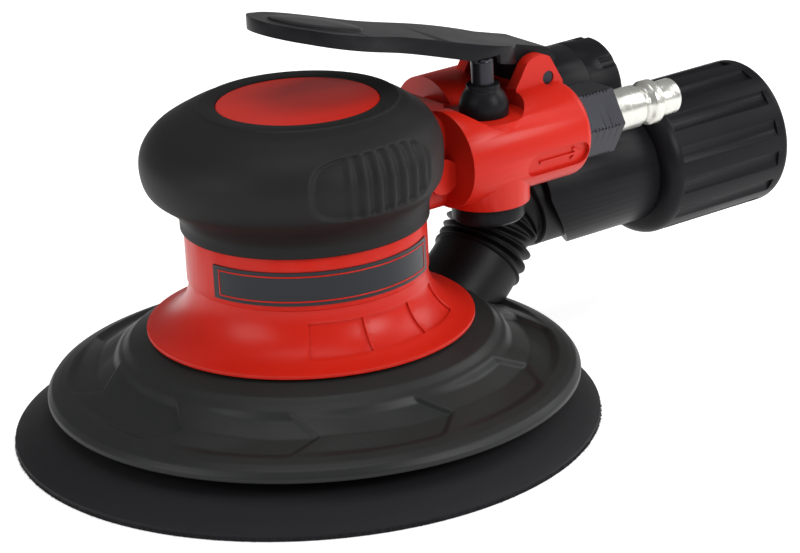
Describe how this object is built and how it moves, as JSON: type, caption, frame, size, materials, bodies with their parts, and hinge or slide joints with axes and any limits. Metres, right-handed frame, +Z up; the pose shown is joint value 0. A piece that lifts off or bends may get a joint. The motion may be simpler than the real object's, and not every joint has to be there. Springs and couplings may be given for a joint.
{
  "type": "orbital sander",
  "caption": "Air-driven random orbital palm sander: round hook-faced pad, rubber shroud, red motor housing, palm grip, throttle lever, and a rear dust outlet with a swivelling collar",
  "frame": {"origin": "On the motor axis, in the plane of the sanding face", "axes": "+Z up along the motor axis, +X to the rear where the air inlet and the dust outlet point, -Y the air inlet side"},
  "size_m": [0.233, 0.1479, 0.1071],
  "materials": {
    "red_plastic": "satin moulded red plastic",
    "grip_rubber": "soft black rubber, fine matt grain",
    "shroud_rubber": "smooth black rubber",
    "black_plastic": "fine-textured black plastic",
    "hose_plastic": "flexible black plastic",
    "steel": "turned steel",
    "plated_steel": "nickel-plated steel",
    "dark_steel": "black-oxide steel",
    "aluminium": "machined aluminium",
    "brass": "turned brass",
    "foam": "dense polyurethane foam",
    "hook": "hook-and-loop face",
    "felt": "sintered silencer insert",
    "band": "blank dark name band",
    "fibre": "phenolic fibre",
    "o_ring": "nitrile rubber"
  },
  "bodies": {
    "housing": {"motor_housing": "red_plastic", "palm_grip": "grip_rubber", "top_cap": "red_plastic", "name_band": "band", "shroud": "shroud_rubber", "vacuum_hose": "hose_plastic", "ejector_body": "black_plastic", "muffler_insert": "felt", "muffler_cap": "black_plastic", "ejector_nozzle": "brass", "lock_ring": "aluminium", "motor_cylinder": "steel", "upper_end_plate": "steel", "lower_end_plate": "steel", "upper_bearing_outer_ring": "steel", "lower_bearing_outer_ring": "steel", "inlet_bushing": "dark_steel", "inlet_screen": "brass", "coupler_plug": "plated_steel", "lever_pin": "dark_steel", "valve_bush": "black_plastic", "valve_seat": "brass", "collar_retainer": "steel"},
    "rotor_shaft": {"shaft_balancer": "steel", "rotor": "steel", "vanes": "fibre", "rotor_key": "steel", "upper_bearing_inner_ring": "steel", "lower_bearing_inner_ring": "steel", "shaft_circlip": "steel", "spindle_bearing_outer_ring": "steel", "spindle_bearing_circlip": "steel"},
    "lower_ball_set": {"lower_bearing_balls": "steel", "lower_bearing_cage": "brass"},
    "upper_ball_set": {"upper_bearing_balls": "steel", "upper_bearing_cage": "brass"},
    "spindle_ball_set": {"spindle_bearing_balls": "steel", "spindle_bearing_cage": "brass"},
    "pad": {"spindle": "steel", "spindle_bearing_inner_ring": "steel", "spindle_screw": "steel", "pad_spacer": "steel", "pad_stud": "steel", "backing_plate": "black_plastic", "pad_foam": "foam", "hook_face": "hook"},
    "lever": {"throttle_lever": "black_plastic"},
    "valve_stem": {"valve_stem": "dark_steel", "valve_spring": "steel"},
    "regulator": {"speed_regulator": "black_plastic", "regulator_o_ring": "o_ring"},
    "dust_collar": {"dust_collar": "black_plastic"}
  },
  "joints": [
    {"name": "rotor_spin", "type": "hinge", "parent": "housing", "child": "rotor_shaft", "pos_m": [0, 0, 0.05], "axis": [0, 0, 1], "continuous": true},
    {"name": "lower_balls_roll", "type": "hinge", "parent": "housing", "child": "lower_ball_set", "pos_m": [0, 0, 0.0406], "axis": [0, 0, 1], "continuous": true},
    {"name": "upper_balls_roll", "type": "hinge", "parent": "housing", "child": "upper_ball_set", "pos_m": [0, 0, 0.0716], "axis": [0, 0, 1], "continuous": true},
    {"name": "pad_spin", "type": "hinge", "parent": "rotor_shaft", "child": "pad", "pos_m": [-0.00248, 0.00035, 0.02], "axis": [0, 0, 1], "continuous": true},
    {"name": "spindle_balls_roll", "type": "hinge", "parent": "rotor_shaft", "child": "spindle_ball_set", "pos_m": [-0.00248, 0.00035, 0.0209], "axis": [0, 0, 1], "continuous": true},
    {"name": "lever_press", "type": "hinge", "parent": "housing", "child": "lever", "pos_m": [0.069, 0, 0.0774], "axis": [0, -1, 0], "range_deg": [0, 9], "stiffness_Nm_per_rad": 0.64, "springref_deg": -9.17},
    {"name": "stem_slide", "type": "slide", "parent": "housing", "child": "valve_stem", "axis": [0, 0, -1], "range_m": [0, 0.0036], "deforming": ["valve_spring"]},
    {"name": "regulator_turn", "type": "hinge", "parent": "housing", "child": "regulator", "pos_m": [0.0483, -0.012, 0.05], "axis": [0, 0, 1], "range_deg": [0, 90]},
    {"name": "dust_collar_swivel", "type": "hinge", "parent": "housing", "child": "dust_collar", "pos_m": [0.13, 0.012, 0.0379], "axis": [1, 0, 0], "continuous": true}
  ],
  "couplings": [
    {"joint": "lower_balls_roll", "follows": "rotor_spin", "ratio": 0.4},
    {"joint": "upper_balls_roll", "follows": "rotor_spin", "ratio": 0.4},
    {"joint": "spindle_balls_roll", "follows": "pad_spin", "ratio": 0.39},
    {"joint": "stem_slide", "follows": "lever_press", "m_per_rad": 0.0222}
  ]
}
